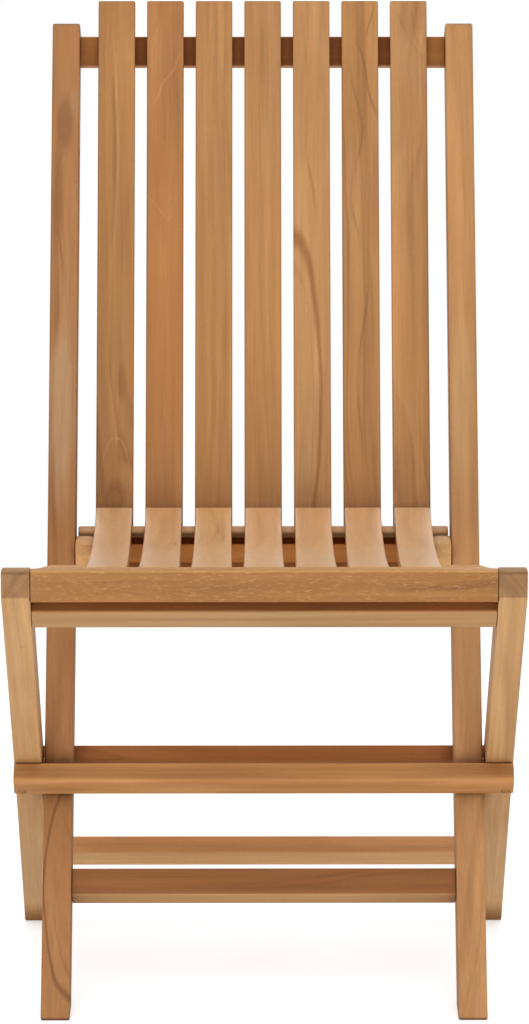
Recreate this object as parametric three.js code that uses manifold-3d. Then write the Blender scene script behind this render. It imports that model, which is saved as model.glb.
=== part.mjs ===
// Folding teak chair: a slatted back on two bent stiles, a dished slat seat, and a rear leg
// frame that crosses the stiles and turns on two bolts, so that the chair folds like scissors.
// Millimetres, +Z up. The front of the chair faces -Y, and the origin lies on the floor, in the
// middle of the chair's own box.

import * as THREE from 'three';
import { mergeVertices } from 'three/addons/utils/BufferGeometryUtils.js';
import Module from 'manifold-3d';

const wasm = await Module();
wasm.setup();

// Fits
const fit = 0.3;              // gap between pieces that touch
const ease = 1.5;             // eased edge along every sawn piece
const roundOver = 3;          // radius of a rounded corner at the end of a piece
const overrun = 2;            // how far a cutter runs past the face that it opens
const roundSides = 18;        // sides of a pin, bolt or washer

// Widths, from the outside in
const legSpan = 490;
const legThick = 27;
const washerThick = 1.4;
const stileThick = 28;
const legInner = legSpan / 2 - legThick;
const stileOuter = legInner - washerThick - 2 * fit;
const stileInner = stileOuter - stileThick;

// Stiles, which are the back posts and the front legs in one
const stile = {
  depth: 40,
  lowLean: THREE.MathUtils.degToRad(34.5),
  highLean: THREE.MathUtils.degToRad(27.6),
  lowLength: 242,
  bendLength: 328,
  highLength: 472,
  topRound: 8,
  way: 1,
};

// Rear legs, which lean the other way
const leg = {
  depth: 38,
  lowLean: THREE.MathUtils.degToRad(38.2),
  highLean: THREE.MathUtils.degToRad(41.8),
  lowLength: 153,
  bendLength: 235,
  highLength: 260,
  way: -1,
};

// Where the two frames cross, and how far they fold
const pivotHeight = 205.8;
const foldAngle = THREE.MathUtils.degToRad(64);
const grooveLean = THREE.MathUtils.degToRad(28.7);

// Seat front, where the seat hangs on the tops of the rear legs
const seatHeight = 466;
const facetHeight = 25;       // the upright facet at the front of each leg top
const legTopDepth = 12;       // the level top of a leg, before it rounds off to the rear
const hingeSetback = 13.6;
const hingeDrop = 19.3;

// Round stock
const pivotBolt = { radius: 4, headRadius: 8, headDepth: 4, sunk: 1, tail: 1.5 };
const pivotWasher = { radius: 10 };
const pivotNut = { radius: 7.5, thick: 6, sunk: 8 };
const hingePin = { radius: 4, sunk: 2, inRail: 26 };
const slidePin = { radius: 4, inRail: 13, inGroove: 7.5 };

// Back
const slatCount = 7;
const slatsToStile = 18.8;    // clear gap between the outermost slats and the stiles
const slatGap = 12.3;         // clear gap between two back slats
const backSlat = {
  thick: 12, lean: THREE.MathUtils.degToRad(24.9), bow: 8,
  aboveStile: 19.4, behindPin: 31.08, endBelowPin: 56.8,
};
const topRail = { thick: 11, height: 32, belowSlatTop: 34.1, tenonThick: 6, tenonHeight: 22, tenon: 15 };
const lowerRail = { thick: 17, height: 44, aboveSlatEnd: 12, tenonThick: 8, tenonHeight: 30, tenon: 15 };
const frontStretcher = {
  thick: 33, height: 27.2, recess: 5.5, along: 143, tenonThick: 12, tenonHeight: 19, tenon: 15,
};

// Cross pieces of the rear leg frame
const legRail = {
  thick: 14, height: 27.6, recess: 0, belowSeat: 64.1, tenonThick: 7, tenonHeight: 19, tenon: 14,
};
const rearStretcher = {
  thick: 20.8, height: 25.2, recess: 22, aboveFloor: 53.4, tenonThick: 10, tenonHeight: 14, tenon: 14,
};
const stopBatten = {
  height: 25.2, frontDepth: 22, rearDepth: 19,
  plugRadius: 4, plugDepth: 4, plugProud: 0.4, plugInset: 8, plugRise: 6,
};

// Seat
const frontRail = {
  depth: 28, height: 30, levelTop: 17.5, endLength: 26, tongue: 8, tongueThick: 6, tongueDrop: 7,
};
const sideRail = {
  thick: 15.6, depth: 13.5, fromSlatEdge: 2.2, tenon: 10, tenonHeight: 7, tenonThick: 8, tenonDrop: 2,
};
const lug = { thick: 16, beforePin: 14, pastPin: 10, belowPin: 12.6, round: 11 };
const crossRail = {
  thick: 20, height: 21, inset: 12.8, tenon: 7, tenonThick: 10, tenonHeight: 8, tenonDrop: 3,
};
const tieBatten = { depth: 14, height: 13, fromStile: 2.2, behindRails: 8.6 };
const seatSlat = {
  thick: 13, frontExtra: 2.2, rearTaper: 3.6,
  lowBeforePin: 36.6, lowAbovePin: 31.7, endBehindPin: 45.4, endAbovePin: 43.7,
};

// Colours of the teak and the metal
const teak = {
  stile: 0xb07d4e, leg: 0xc49b6c, rail: 0xa9713f, slat: 0xb67c4a, seat: 0xc9976b, plug: 0x8f6236,
};
const brass = 0xb08d4a;

const slatWidth = (2 * (stileInner - slatsToStile) - slatGap * (slatCount - 1)) / slatCount;
const slatPitch = slatWidth + slatGap;

const chair = new THREE.Group();

function addPiece(name, geometry, color, metal) {
  const look = metal
    ? { color, roughness: 0.35, metalness: 1 }
    : { color, roughness: 0.6, metalness: 0 };
  const mesh = new THREE.Mesh(geometry, new THREE.MeshStandardMaterial(look));
  mesh.name = name;
  chair.add(mesh);
}

// Solids that can be cut and joined

function toSolid(geometry) {
  const plain = geometry.clone();
  plain.deleteAttribute('normal');
  plain.deleteAttribute('uv');
  const merged = mergeVertices(plain, fit / 100);
  return new wasm.Manifold(new wasm.Mesh({
    numProp: 3,
    vertProperties: new Float32Array(merged.attributes.position.array),
    triVerts: new Uint32Array(merged.index.array),
  }));
}

function toGeometry(solid) {
  const mesh = solid.getMesh();
  const geometry = new THREE.BufferGeometry();
  geometry.setAttribute('position', new THREE.BufferAttribute(mesh.vertProperties, mesh.numProp));
  geometry.setIndex(new THREE.BufferAttribute(mesh.triVerts, 1));
  geometry.computeVertexNormals();
  return geometry;
}

function shaped(body, { joins = [], cuts = [] }) {
  let solid = toSolid(body);
  for (const piece of joins) solid = solid.add(toSolid(piece));
  for (const piece of cuts) solid = solid.subtract(toSolid(piece));
  return toGeometry(solid);
}

// Side-view points are Vector2(y, z)

const at = (y, z) => new THREE.Vector2(y, z);
const moved = (point, along, distance) => point.clone().addScaledVector(along, distance);

// An outline whose corners listed in radii are rounded with arcs
function outline(points, radii = {}) {
  const shape = new THREE.Shape();
  points.forEach((corner, i) => {
    const radius = radii[i] ?? 0;
    const draw = i === 0 ? 'moveTo' : 'lineTo';
    if (radius === 0) {
      shape[draw](corner.x, corner.y);
      return;
    }
    const toBefore = points.at(i - 1).clone().sub(corner).normalize();
    const toAfter = points[(i + 1) % points.length].clone().sub(corner).normalize();
    const half = Math.acos(toBefore.dot(toAfter)) / 2;
    const middle = moved(corner, toBefore.clone().add(toAfter).normalize(), radius / Math.sin(half));
    const start = moved(corner, toBefore, radius / Math.tan(half));
    const end = moved(corner, toAfter, radius / Math.tan(half));
    const hollow = toAfter.cross(toBefore) < 0;
    shape[draw](start.x, start.y);
    shape.absarc(
      middle.x, middle.y, radius, start.sub(middle).angle(), end.sub(middle).angle(), hollow,
    );
  });
  shape.closePath();
  return shape;
}

// A side-view outline as wide as the stretch from x0 to x1, with eased ends
function acrossX(shape, x0, x1, easing = ease) {
  const geometry = new THREE.ExtrudeGeometry(shape, {
    depth: x1 - x0 - 2 * easing,
    curveSegments: 2,
    bevelEnabled: easing > 0,
    bevelThickness: easing,
    bevelSize: easing,
    bevelOffset: -easing,
    bevelSegments: 2,
  });
  geometry.translate(0, 0, x0 + easing);
  // shape x, shape y and depth become Y, Z and X
  return geometry.applyMatrix4(new THREE.Matrix4().makeBasis(
    new THREE.Vector3(0, 1, 0), new THREE.Vector3(0, 0, 1), new THREE.Vector3(1, 0, 0),
  ));
}

// A rectangle in the side view: from a corner, so far up one direction and so far into another
function block(corner, up, height, into, depth) {
  const top = moved(corner, up, height);
  return [corner, top, moved(top, into, depth), moved(corner, into, depth)];
}

// Counter-clockwise order, as a shape needs it
function turned(points) {
  return THREE.ShapeUtils.isClockWise(points) ? [...points].reverse() : points;
}

const allCorners = (radius) => [radius, radius, radius, radius];

function rod(center, x0, x1, radius, sides = roundSides) {
  const geometry = new THREE.CylinderGeometry(radius, radius, x1 - x0, sides);
  geometry.rotateZ(Math.PI / 2);
  geometry.translate((x0 + x1) / 2, center.x, center.y);
  return geometry;
}

// The same stretch on the right (side 1) or on the left (side -1)
const stretch = (side, inner, outer) => (side > 0 ? [inner, outer] : [-outer, -inner]);

// A bent post: straight, then a long gentle bend, then straight. Distances run up its front face.
function post({ lowLean, highLean, lowLength, bendLength, way }) {
  const turn = (highLean - lowLean) / bendLength;
  const facing = (lean) => at(way * Math.sin(lean), Math.cos(lean));
  const bendStart = facing(lowLean).multiplyScalar(lowLength);
  function arc(distance) {
    const lean = lowLean + turn * distance;
    return at(
      bendStart.x + way * (Math.cos(lowLean) - Math.cos(lean)) / turn,
      bendStart.y + (Math.sin(lean) - Math.sin(lowLean)) / turn,
    );
  }
  function place(distance) {
    const inBend = distance - lowLength;
    const lean = lowLean + turn * Math.min(Math.max(inBend, 0), bendLength);
    const up = facing(lean);
    const into = at(Math.cos(lean), -way * Math.sin(lean));
    let point = moved(arc(bendLength), up, inBend - bendLength);
    if (inBend < bendLength) point = arc(inBend);
    if (inBend < 0) point = moved(at(0, 0), up, distance);
    return { point, up, into };
  }
  return place;
}

// The distance up a post at which a line a given depth inside it reaches a height
function distanceAtHeight(place, depth, height) {
  let low = -height;
  let high = 3 * height;
  for (let step = 0; step < 60; step += 1) {
    const middle = (low + high) / 2;
    const { point, into } = place(middle);
    if (moved(point, into, depth).y < height) low = middle;
    else high = middle;
  }
  return (low + high) / 2;
}

// Frame geometry in the side view, with the front foot's front edge at y = 0

const alongStile = post(stile);
const rawLeg = post(leg);

const pivotOnStile = alongStile(distanceAtHeight(alongStile, stile.depth / 2, pivotHeight));
const pivot = moved(pivotOnStile.point, pivotOnStile.into, stile.depth / 2);
const rawPivotOnLeg = rawLeg(distanceAtHeight(rawLeg, leg.depth / 2, pivotHeight));
const legShift = at(pivot.x - moved(rawPivotOnLeg.point, rawPivotOnLeg.into, leg.depth / 2).x, 0);

function alongLeg(distance) {
  const { point, up, into } = rawLeg(distance);
  return { point: point.clone().add(legShift), up, into };
}

const legFacetStart = alongLeg(distanceAtHeight(alongLeg, 0, seatHeight - facetHeight)).point;
const railFront = legFacetStart.x;
const hinge = at(railFront + hingeSetback, seatHeight - hingeDrop);

// The seat is as long from its hinge to its slide pin as the leg is from the pivot to the hinge.
// The three points keep a triangle with two equal sides, so the seat turns exactly twice as far
// on the leg as the leg turns on the stile, and the pin stays on one straight groove.
const groove = at(Math.sin(grooveLean), Math.cos(grooveLean));
const legReach = hinge.distanceTo(pivot);
const openAngle = grooveLean + Math.atan2(pivot.x - hinge.x, hinge.y - pivot.y);
const pinAlong = (angle) => moved(pivot, groove, 2 * legReach * Math.cos(angle));
const pinOpen = pinAlong(openAngle);
const pinFolded = pinAlong(openAngle - foldAngle);

// Stiles

const nutFace = stileInner + pivotNut.sunk;
const stileLength = stile.lowLength + stile.bendLength + stile.highLength;
const bendSteps = 8;

// The outline of a post, closed at the top by corners that each have a radius
function postOutline(place, size, top) {
  const front = [];
  const rear = [];
  const footDistance = size.depth * Math.tan(size.lowLean) * size.way;
  for (let i = 0; i <= bendSteps; i += 1) {
    const { point, into } = place(size.lowLength + size.bendLength * (i / bendSteps));
    front.push(point);
    rear.unshift(moved(point, into, size.depth));
  }
  const foot = place(0).point;
  const { point: rearFoot, into } = place(footDistance);
  const heel = moved(rearFoot, into, size.depth);
  const rounded = new Map([[foot, roundOver], [heel, roundOver], ...top]);
  const order = turned([foot, ...front, ...top.map(([corner]) => corner), ...rear, heel]);
  return outline(order, order.map((corner) => rounded.get(corner) ?? 0));
}

function stileTop() {
  const { point, into } = alongStile(stileLength);
  return [[point, stile.topRound], [moved(point, into, stile.depth), roundOver]];
}

// A cross rail's section and its tenon's, from the corner of its lower front edge
function railSection(corner, up, into, { thick, height, tenonThick, tenonHeight }) {
  const tenonCorner = moved(
    moved(corner, up, (height - tenonHeight) / 2), into, (thick - tenonThick) / 2,
  );
  const grown = moved(moved(tenonCorner, up, -fit), into, -fit);
  return {
    body: outline(turned(block(corner, up, height, into, thick)), allCorners(roundOver)),
    tenon: outline(turned(block(tenonCorner, up, tenonHeight, into, tenonThick))),
    mortise: outline(turned(
      block(grown, up, tenonHeight + 2 * fit, into, tenonThick + 2 * fit),
    )),
  };
}

// A rail between two faces at x = half and x = -half, tenoned into what stands there
function tenonedRail(section, half, tenon) {
  const shoulder = half - fit;
  return shaped(acrossX(section.body, -shoulder, shoulder, 0), {
    joins: [acrossX(section.tenon, -shoulder - tenon, shoulder + tenon, 0)],
  });
}

function mortise(section, side, face, tenon) {
  return acrossX(section.mortise, ...stretch(side, face - overrun, face + tenon), 0);
}

// Back slats: bowed strips that run from the top rail to behind the lower rail

const slatUp = at(Math.sin(backSlat.lean), Math.cos(backSlat.lean));
const slatInto = at(Math.cos(backSlat.lean), -Math.sin(backSlat.lean));
const slatTopHeight = alongStile(stileLength).point.y + backSlat.aboveStile;
const slatTop = at(
  pinOpen.x + backSlat.behindPin + (slatTopHeight - pinOpen.y) * Math.tan(backSlat.lean), slatTopHeight,
);
const backSlatLength = (slatTopHeight - pinOpen.y + backSlat.endBelowPin) / Math.cos(backSlat.lean);

// A point on a back slat's front face, a share of its length down from the top
function slatFront(share, depth = 0) {
  const straight = moved(slatTop, slatUp, -share * backSlatLength);
  return moved(straight, slatInto, 4 * backSlat.bow * share * (1 - share) + depth);
}

function backSlatOutline() {
  const steps = 10;
  const front = [];
  const rear = [];
  for (let i = 0; i <= steps; i += 1) {
    front.push(slatFront(i / steps));
    rear.unshift(slatFront(i / steps, backSlat.thick));
  }
  const corners = turned([...front, ...rear]);
  const radii = {};
  corners.forEach((corner, i) => {
    if ([front[0], front.at(-1), rear[0], rear.at(-1)].includes(corner)) radii[i] = roundOver;
  });
  return outline(corners, radii);
}

const slatPlaces = Array.from({ length: slatCount }, (_, i) => (i - (slatCount - 1) / 2) * slatPitch);

function addBackSlats() {
  const shape = backSlatOutline();
  slatPlaces.forEach((x, i) => {
    const geometry = acrossX(shape, x - slatWidth / 2, x + slatWidth / 2);
    addPiece(`back_slat_${i + 1}`, geometry, teak.slat);
  });
}

// Rails of the stile frame

function slatShareAt(distance) {
  return distance / backSlatLength;
}

// The direction that a back slat's face runs at one share of its length
function slatFrame(share, span) {
  const upper = slatFront(share - slatShareAt(span));
  const lower = slatFront(share + slatShareAt(span));
  const up = upper.sub(lower).normalize();
  return { up, into: at(up.y, -up.x) };
}

function topRailSection() {
  const share = slatShareAt(topRail.belowSlatTop + topRail.height / 2);
  const { up, into } = slatFrame(share, topRail.height / 2);
  const middle = slatFront(share, backSlat.thick + fit);
  return railSection(moved(middle, up, -topRail.height / 2), up, into, topRail);
}

function lowerRailSection() {
  const share = slatShareAt(backSlatLength - lowerRail.aboveSlatEnd - lowerRail.height / 2);
  const { up, into } = slatFrame(share, lowerRail.height / 2);
  const middle = slatFront(share, -fit - lowerRail.thick);
  return railSection(moved(middle, up, -lowerRail.height / 2), up, into, lowerRail);
}

function stretcherSection() {
  const { point, up, into } = alongStile(frontStretcher.along);
  const corner = moved(moved(point, into, frontStretcher.recess), up, -frontStretcher.height / 2);
  return railSection(corner, up, into, frontStretcher);
}

function addStileFrame() {
  const rails = [
    ['top_rail', topRailSection(), topRail.tenon],
    ['lower_back_rail', lowerRailSection(), lowerRail.tenon],
    ['front_stretcher', stretcherSection(), frontStretcher.tenon],
  ];
  for (const [name, section, tenon] of rails) {
    addPiece(name, tenonedRail(section, stileInner, tenon), teak.rail);
  }
  const shape = postOutline(alongStile, stile, stileTop());
  const grooveRadius = slidePin.radius + fit;
  const grooveSide = at(groove.y, -groove.x);
  const grooveStart = moved(pinOpen, grooveSide, -grooveRadius);
  const grooveFloor = stileInner + slidePin.inGroove + fit;
  for (const [hand, side] of [['right', 1], ['left', -1]]) {
    const slot = outline(turned(
      block(grooveStart, groove, pinFolded.distanceTo(pinOpen), grooveSide, 2 * grooveRadius),
    ));
    const open = stretch(side, stileInner - overrun, grooveFloor);
    const cuts = rails.map(([, section, tenon]) => mortise(section, side, stileInner, tenon));
    cuts.push(acrossX(slot, ...open, 0));
    cuts.push(rod(pinOpen, ...open, grooveRadius));
    cuts.push(rod(pinFolded, ...open, grooveRadius));
    const through = stretch(side, stileInner - overrun, stileOuter + overrun);
    cuts.push(rod(pivot, ...through, pivotBolt.radius + fit));
    cuts.push(rod(pivot, ...stretch(side, stileInner - overrun, nutFace + fit), pivotNut.radius + fit));
    const body = acrossX(shape, ...stretch(side, stileInner, stileOuter));
    addPiece(`stile_${hand}`, shaped(body, { cuts }), teak.stile);
  }
}

// Rear leg frame

// A leg ends in an upright facet and a level top, which rounds off into its rear face
function legTop() {
  const { point, up, into } = alongLeg(distanceAtHeight(alongLeg, leg.depth, seatHeight));
  const corner = moved(point, into, leg.depth);
  const reach = corner.x - railFront - legTopDepth;
  const half = (Math.PI - Math.acos(-up.x)) / 2;
  return [
    [legFacetStart, roundOver],
    [at(railFront, seatHeight), roundOver],
    [corner, reach * Math.tan(half)],
  ];
}

function legRailSection(size, height) {
  const { point, up, into } = alongLeg(distanceAtHeight(alongLeg, 0, height));
  return railSection(moved(point, into, size.recess), up, into, size);
}

// Where a line inside the stiles crosses a line inside the legs
function crossing(stileDepth, legDepth) {
  let low = 0;
  let high = 2 * pivotHeight;
  for (let step = 0; step < 60; step += 1) {
    const height = (low + high) / 2;
    const onStile = alongStile(distanceAtHeight(alongStile, stileDepth, height));
    const onLeg = alongLeg(distanceAtHeight(alongLeg, legDepth, height));
    const stileY = moved(onStile.point, onStile.into, stileDepth).x;
    if (moved(onLeg.point, onLeg.into, legDepth).x > stileY) low = height;
    else high = height;
  }
  const onLeg = alongLeg(distanceAtHeight(alongLeg, legDepth, low));
  const onStile = alongStile(distanceAtHeight(alongStile, stileDepth, low));
  return { corner: moved(onLeg.point, onLeg.into, legDepth), onLeg, onStile };
}

// A stop batten lies on a face of the legs, and its rounded edge meets a face of the stiles
// when the chair is open: the front one above the crossing, the rear one below it
function battenPlace(front) {
  const { corner, onLeg, onStile } = crossing(front ? 0 : stile.depth, front ? 0 : leg.depth);
  const away = front ? onLeg.into.clone().negate() : onLeg.into;
  const climb = front ? onLeg.up : onLeg.up.clone().negate();
  const stileWay = front ? onStile.up.clone().negate() : onStile.up;
  const gape = Math.acos(away.dot(stileWay));
  const lift = (roundOver + fit) * (1 - Math.sin(gape)) / Math.cos(gape) - roundOver;
  return { corner: moved(moved(corner, away, fit), climb, lift), climb, away };
}

function addStopBatten(name, front) {
  const { corner, climb, away } = battenPlace(front);
  const depth = front ? stopBatten.frontDepth : stopBatten.rearDepth;
  const shape = outline(turned(block(corner, climb, stopBatten.height, away, depth)), allCorners(roundOver));
  const plugX = legSpan / 2 - stopBatten.plugInset;
  const plugAt = moved(moved(corner, climb, stopBatten.plugRise), away, depth);
  const facing = new THREE.Vector3(0, away.x, away.y);
  const plugs = [['right', plugX], ['left', -plugX]].map(([hand, x]) => {
    const plug = (radius, sunk, proud) => {
      const geometry = new THREE.CylinderGeometry(radius, radius, sunk + proud, roundSides);
      geometry.translate(0, (proud - sunk) / 2, 0);
      const upright = new THREE.Vector3(0, 1, 0);
      geometry.applyQuaternion(new THREE.Quaternion().setFromUnitVectors(upright, facing));
      return geometry.translate(x, plugAt.x, plugAt.y);
    };
    const { plugRadius, plugDepth, plugProud } = stopBatten;
    addPiece(`${name}_plug_${hand}`, plug(plugRadius, plugDepth, plugProud), teak.plug);
    return plug(plugRadius + fit, plugDepth + fit, overrun);
  });
  const body = acrossX(shape, -legSpan / 2, legSpan / 2);
  addPiece(name, shaped(body, { cuts: plugs }), teak.rail);
}

function addLegFrame() {
  const rails = [
    ['leg_top_rail', legRailSection(legRail, seatHeight - legRail.belowSeat), legRail.tenon],
    ['rear_stretcher', legRailSection(rearStretcher, rearStretcher.aboveFloor), rearStretcher.tenon],
  ];
  for (const [name, section, tenon] of rails) {
    addPiece(name, tenonedRail(section, legInner, tenon), teak.rail);
  }
  const shape = postOutline(alongLeg, leg, legTop());
  const outer = legSpan / 2;
  for (const [hand, side] of [['right', 1], ['left', -1]]) {
    const through = stretch(side, legInner - overrun, outer + overrun);
    const sink = pivotBolt.headDepth + pivotBolt.sunk + fit;
    const cuts = rails.map(([, section, tenon]) => mortise(section, side, legInner, tenon));
    cuts.push(rod(pivot, ...through, pivotBolt.radius + fit));
    cuts.push(rod(pivot, ...stretch(side, outer - sink, outer + overrun), pivotBolt.headRadius + fit));
    cuts.push(rod(hinge, ...through, hingePin.radius + fit));
    const body = acrossX(shape, ...stretch(side, legInner, outer));
    addPiece(`rear_leg_${hand}`, shaped(body, { cuts }), teak.leg);
  }
  addStopBatten('front_stop_batten', true);
  addStopBatten('rear_stop_batten', false);
}

// Seat frame

const railRear = railFront + frontRail.depth;
const railEnd = legInner - 2 * fit;
const sideInner = slatPlaces.at(-1) + slatWidth / 2 - sideRail.fromSlatEdge - sideRail.thick;
const sideRear = pinOpen.x + lug.pastPin;
const lugOuter = stileInner - fit;

// The seat's top face is level at the front edge, falls from within the front rail, has its lowest
// point before the slide pin and turns up again to its end behind the pin
const dishStart = railFront + frontRail.levelTop;
const dishLow = at(pinOpen.x - seatSlat.lowBeforePin, pinOpen.y + seatSlat.lowAbovePin);
const dishEnd = at(pinOpen.x + seatSlat.endBehindPin, pinOpen.y + seatSlat.endAbovePin);

function dishHeight(y) {
  const toFront = (dishLow.x - y) / (dishLow.x - dishStart);
  const toEnd = (y - dishLow.x) / (dishEnd.x - dishLow.x);
  if (y < dishLow.x) return dishLow.y + (seatHeight - dishLow.y) * toFront ** 2;
  return dishLow.y + (dishEnd.y - dishLow.y) * toEnd ** 2;
}

// A point on a seat slat's top face or so deep under it, and the direction straight into it
function dishPoint(y, depth = 0) {
  const step = fit;
  const slope = (dishHeight(y + step) - dishHeight(y - step)) / (2 * step);
  const down = at(slope, -1).normalize();
  return moved(at(y, dishHeight(y)), down, depth);
}

// The point so deep under the top face that lies at a given place from front to rear
function dishAt(y, depth) {
  let above = y;
  for (let step = 0; step < 20; step += 1) above += y - dishPoint(above, depth).x;
  return dishPoint(above, depth);
}

// A place against the underside of the seat slats, with the directions along and away from them
function underSlats(y) {
  const front = dishPoint(y - fit, seatSlat.thick + fit);
  const rear = dishPoint(y + fit, seatSlat.thick + fit);
  const along = rear.clone().sub(front).normalize();
  return { point: dishPoint(y, seatSlat.thick + fit), along, down: at(along.y, -along.x) };
}

// The slats' curve is sawn as this many short straights
const dishSteps = 12;
const slatStart = railRear + fit;
const dishPlaces = Array.from(
  { length: dishSteps + 1 }, (_, i) => slatStart + (dishEnd.x - slatStart) * (i / dishSteps),
);

function seatSlatShape() {
  const top = dishPlaces.map((y) => dishPoint(y));
  const under = dishPlaces.slice(1).map((y) => dishPoint(y, seatSlat.thick)).reverse();
  under.push(dishAt(slatStart, seatSlat.thick));
  const tongueTop = seatHeight - frontRail.tongueDrop;
  const tongue = [
    at(slatStart - frontRail.tongue, tongueTop - frontRail.tongueThick),
    at(slatStart - frontRail.tongue, tongueTop),
    at(slatStart, tongueTop),
  ];
  tongue.unshift(at(slatStart, tongueTop - frontRail.tongueThick));
  const corners = turned([...top, ...under, ...tongue]);
  const radii = {};
  corners.forEach((corner, i) => {
    if (corner === top.at(-1) || corner === under[0]) radii[i] = roundOver;
  });
  return outline(corners, radii);
}

// Each seat slat narrows a little towards the back
function addSeatSlats() {
  const shape = seatSlatShape();
  const frontWidth = slatWidth + seatSlat.frontExtra;
  const rearWidth = frontWidth - seatSlat.rearTaper;
  slatPlaces.forEach((x, i) => {
    const geometry = acrossX(shape, -frontWidth / 2, frontWidth / 2);
    const position = geometry.attributes.position;
    for (let v = 0; v < position.count; v += 1) {
      const share = Math.max(0, (position.getY(v) - railRear) / (dishEnd.x - railRear));
      const width = frontWidth + (rearWidth - frontWidth) * share;
      position.setX(v, x + position.getX(v) * (width / frontWidth));
    }
    addPiece(`seat_slat_${i + 1}`, geometry, teak.seat);
  });
}

// The front rail's rear top edge sweeps forward to the leg tops in an S at each end
function frontRailEndCut(side) {
  const sweep = new THREE.Shape();
  const start = railEnd - frontRail.endLength;
  const tip = railFront + legTopDepth;
  const middle = (start + railEnd) / 2;
  const past = railRear + frontRail.height + overrun;
  sweep.moveTo(start, past);
  sweep.lineTo(start, railRear);
  sweep.bezierCurveTo(middle, railRear, middle, tip, railEnd, tip);
  sweep.lineTo(railEnd + overrun, tip);
  sweep.lineTo(railEnd + overrun, past);
  sweep.closePath();
  const height = frontRail.height + overrun;
  const geometry = new THREE.ExtrudeGeometry(sweep, { depth: height, bevelEnabled: false, curveSegments: 8 });
  geometry.translate(0, 0, seatHeight - frontRail.height);
  // it leans with the rear face of the leg: lower down, the cut lies further back
  const lean = Math.tan(leg.highLean);
  const shear = new THREE.Matrix4().set(
    side, 0, 0, 0,
    0, 1, -lean, lean * seatHeight,
    0, 0, 1, 0,
    0, 0, 0, 1,
  );
  geometry.applyMatrix4(shear);
  return side > 0 ? geometry : flipped(geometry);
}

// A mirrored geometry with its faces turned out again
function flipped(geometry) {
  const plain = geometry.index ? geometry.toNonIndexed() : geometry.clone();
  const position = plain.attributes.position;
  const a = new THREE.Vector3();
  const b = new THREE.Vector3();
  for (let v = 0; v < position.count; v += 3) {
    a.fromBufferAttribute(position, v + 1);
    b.fromBufferAttribute(position, v + 2);
    position.setXYZ(v + 1, b.x, b.y, b.z);
    position.setXYZ(v + 2, a.x, a.y, a.z);
  }
  return plain;
}

function sideTenonShape(grow) {
  const top = dishAt(slatStart, seatSlat.thick + fit).y - sideRail.tenonDrop;
  const inner = slatStart - sideRail.tenon;
  return outline(turned([
    at(inner - grow, top - sideRail.tenonHeight - grow),
    at(slatStart + overrun, top - sideRail.tenonHeight - grow),
    at(slatStart + overrun, top + grow),
    at(inner - grow, top + grow),
  ]));
}

function sideTenonStretch(side, grow) {
  const middle = sideInner + sideRail.thick / 2;
  return stretch(side, middle - sideRail.tenonThick / 2 - grow, middle + sideRail.tenonThick / 2 + grow);
}

// Between the outer slats' edges the front rail's rear part falls away like the slats behind it
function frontRailDip() {
  const rear = at(railRear, dishHeight(railRear));
  const past = moved(rear, rear.clone().sub(at(dishStart, seatHeight)).normalize(), overrun);
  return outline(turned([
    at(dishStart, seatHeight), past, at(past.x, seatHeight + overrun), at(dishStart, seatHeight + overrun),
  ]));
}

function addFrontRail() {
  const section = outline(turned([
    at(railFront, seatHeight), at(railRear, seatHeight),
    at(railRear, seatHeight - frontRail.height), at(railFront, seatHeight - frontRail.height),
  ]), allCorners(roundOver));
  const tongueTop = seatHeight - frontRail.tongueDrop;
  const housing = outline(turned([
    at(railRear - frontRail.tongue, tongueTop + fit),
    at(railRear + overrun, tongueTop + fit),
    at(railRear + overrun, tongueTop - frontRail.tongueThick - fit),
    at(railRear - frontRail.tongue, tongueTop - frontRail.tongueThick - fit),
  ]));
  const half = (slatWidth + seatSlat.frontExtra) / 2 + fit;
  const cuts = slatPlaces.map((x) => acrossX(housing, x - half, x + half, 0));
  cuts.push(acrossX(frontRailDip(), -slatPlaces.at(-1) - half, slatPlaces.at(-1) + half, 0));
  for (const side of [1, -1]) {
    cuts.push(frontRailEndCut(side));
    const pinHole = stretch(side, railEnd - hingePin.inRail, railEnd + overrun);
    cuts.push(rod(hinge, ...pinHole, hingePin.radius + fit));
    cuts.push(acrossX(sideTenonShape(fit), ...sideTenonStretch(side, fit), 0));
  }
  addPiece('seat_front_rail', shaped(acrossX(section, -railEnd, railEnd, 0), { cuts }), teak.rail);
}

// The cross rail lies flat under the seat slats, a little in from the side rails' rear ends
function crossRailSection() {
  const { thick, height, tenonThick, tenonHeight, tenonDrop } = crossRail;
  const { point, along, down } = underSlats(sideRear - crossRail.inset);
  const front = moved(point, along, -thick / 2);
  const tenonCorner = moved(moved(point, along, -tenonThick / 2), down, tenonDrop);
  const grown = moved(moved(tenonCorner, along, -fit), down, -fit);
  return {
    body: outline(turned(block(front, along, thick, down, height)), allCorners(roundOver)),
    tenon: outline(turned(block(tenonCorner, along, tenonThick, down, tenonHeight))),
    mortise: outline(turned(block(grown, along, tenonThick + 2 * fit, down, tenonHeight + 2 * fit))),
  };
}

// What lies under the slats from one place to another, so far under them and so deep
function sideOutline(front, rear, drop, depth) {
  const within = ({ x }) => x > front + overrun && x < rear - overrun;
  const line = (under) => [
    dishAt(front, under),
    ...dishPlaces.map((y) => dishPoint(y, under)).filter(within),
    dishAt(rear, under),
  ];
  const top = line(seatSlat.thick + drop);
  const under = line(seatSlat.thick + drop + depth).reverse();
  return outline(turned([...top, ...under]));
}

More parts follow.
